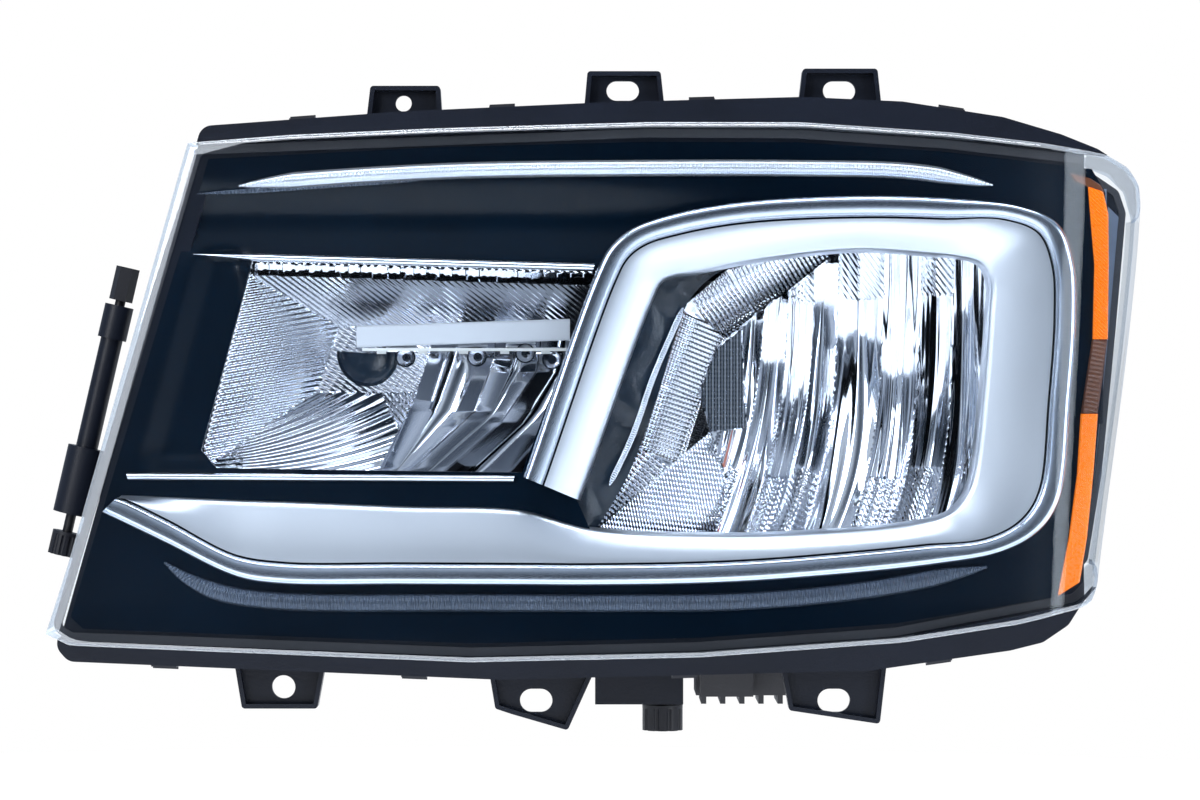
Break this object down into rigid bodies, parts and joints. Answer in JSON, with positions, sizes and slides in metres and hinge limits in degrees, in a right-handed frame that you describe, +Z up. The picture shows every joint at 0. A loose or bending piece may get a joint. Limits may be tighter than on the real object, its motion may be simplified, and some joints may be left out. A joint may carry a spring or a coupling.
{
  "type": "vehicle headlamp assembly",
  "caption": "Wide wrap-around LED headlamp with a clear lens, chrome-framed reflector chambers on an adjustable carrier, and eared rear housing.",
  "frame": {"origin": "centre of the round locating hole in the inboard top ear, on the rear face of the ears", "axes": "+X outboard along the lamp's width, +Y towards the rear of the lamp, +Z up"},
  "size_m": [0.63, 0.22, 0.3788],
  "materials": {
    "black_plastic": "fine moulded grain",
    "seal": "cured sealant bead",
    "clear_lens": "clear polycarbonate with a glossy hard coat",
    "zinc_steel": "zinc plated",
    "black_gloss": "blue-black gloss moulding",
    "satin_chrome": "satin vacuum metallising",
    "dark_chrome": "polished metallising",
    "light_guide": "clear ribbed acrylic over a pale backing",
    "bright_chrome": "bright metallised line",
    "amber": "amber prismatic acrylic",
    "amber_dark": "dark amber acrylic",
    "circuit_board": "solder-masked board",
    "smoked_panel": "smoked grey-blue moulding",
    "cast_aluminium": "die-cast, lightly blasted",
    "rubber": "soft moulded rubber",
    "white_plastic": "natural acetal",
    "carrier_plastic": "glass-filled moulding",
    "reflector": "bright vacuum metallising",
    "pale_bar": "pale matte moulding",
    "led_board": "white solder mask",
    "shaft_plastic": "glass-filled moulding",
    "cover_plastic": "moulded twist cap"
  },
  "bodies": {
    "housing": {"housing": "black_plastic", "lens_seal": "seal", "outer_lens": "clear_lens", "lens_clips": "zinc_steel", "bezel": "black_gloss", "satin_frame": "satin_chrome", "polished_surround": "dark_chrome", "upper_light_guide": "light_guide", "lower_light_guide": "light_guide", "upper_trim_strip": "bright_chrome", "lower_trim_strip": "bright_chrome", "amber_reflector_upper": "amber", "amber_reflector_lower": "amber", "turn_signal_lens": "amber_dark", "turn_signal_board": "circuit_board", "light_guide_boards": "circuit_board", "side_inner_panel": "smoked_panel", "side_lugs": "black_plastic", "bezel_screws": "zinc_steel", "connector_socket": "black_plastic", "driver_module": "cast_aluminium", "driver_screws": "zinc_steel", "leveling_motor": "black_plastic", "motor_screws": "zinc_steel", "breather_caps": "rubber", "cover_gaskets": "rubber", "gimbal_pin": "zinc_steel", "aim_gearbox": "black_plastic", "aim_guide_tube": "black_plastic", "adjuster_gearbox": "black_plastic"},
    "gimbal_block": {"gimbal_block": "white_plastic"},
    "carrier": {"carrier_frame": "carrier_plastic", "high_beam_reflector": "reflector", "low_beam_reflector": "reflector", "high_beam_light_bar": "pale_bar", "high_beam_led_board": "led_board", "low_beam_led_board": "led_board", "high_beam_heat_sink": "cast_aluminium", "low_beam_heat_sink": "cast_aluminium", "rod_sockets": "white_plastic", "carrier_screws": "zinc_steel"},
    "leveling_rod": {"leveling_rod": "white_plastic"},
    "yaw_rod": {"yaw_rod": "white_plastic"},
    "aim_shaft": {"aim_shaft": "shaft_plastic"},
    "adjuster_knob": {"adjuster_knob": "shaft_plastic"},
    "high_beam_cover": {"high_beam_cover": "cover_plastic"},
    "low_beam_cover": {"low_beam_cover": "cover_plastic"}
  },
  "joints": [
    {"name": "aim_yaw", "type": "hinge", "parent": "housing", "child": "gimbal_block", "pos_m": [0.13, 0.08, -0.212], "axis": [0, 0, 1], "range_deg": [-1.5, 1.5]},
    {"name": "aim_pitch", "type": "hinge", "parent": "gimbal_block", "child": "carrier", "pos_m": [0.13, 0.08, -0.212], "axis": [1, 0, 0], "range_deg": [-1.5, 2.5]},
    {"name": "yaw_rod_slide", "type": "slide", "parent": "housing", "child": "yaw_rod", "axis": [0, 1, 0], "range_m": [-0.00695, 0.00695]},
    {"name": "leveling_rod_slide", "type": "slide", "parent": "housing", "child": "leveling_rod", "axis": [0, 1, 0], "range_m": [-0.0019, 0.0032]},
    {"name": "aim_shaft_turn", "type": "hinge", "parent": "housing", "child": "aim_shaft", "pos_m": [-0.208, 0.128, -0.252], "axis": [0.225, 0, 0.9744], "range_deg": [-1250, 1250]},
    {"name": "adjuster_knob_turn", "type": "hinge", "parent": "housing", "child": "adjuster_knob", "pos_m": [0.146, 0.138, -0.345], "axis": [0, 0, 1], "range_deg": [-340, 567]},
    {"name": "high_beam_cover_turn", "type": "hinge", "parent": "housing", "child": "high_beam_cover", "pos_m": [-0.02, 0.135, -0.14], "axis": [0, 1, 0], "range_deg": [0, 30]},
    {"name": "low_beam_cover_turn", "type": "hinge", "parent": "housing", "child": "low_beam_cover", "pos_m": [0.225, 0.135, -0.16], "axis": [0, 1, 0], "range_deg": [0, 30]}
  ],
  "couplings": [
    {"joint": "yaw_rod_slide", "follows": "aim_yaw", "m_per_rad": -0.264},
    {"joint": "leveling_rod_slide", "follows": "aim_pitch", "m_per_rad": 0.072},
    {"joint": "aim_shaft_turn", "follows": "aim_yaw", "ratio": 829.38},
    {"joint": "adjuster_knob_turn", "follows": "aim_pitch", "ratio": 226.19}
  ]
}
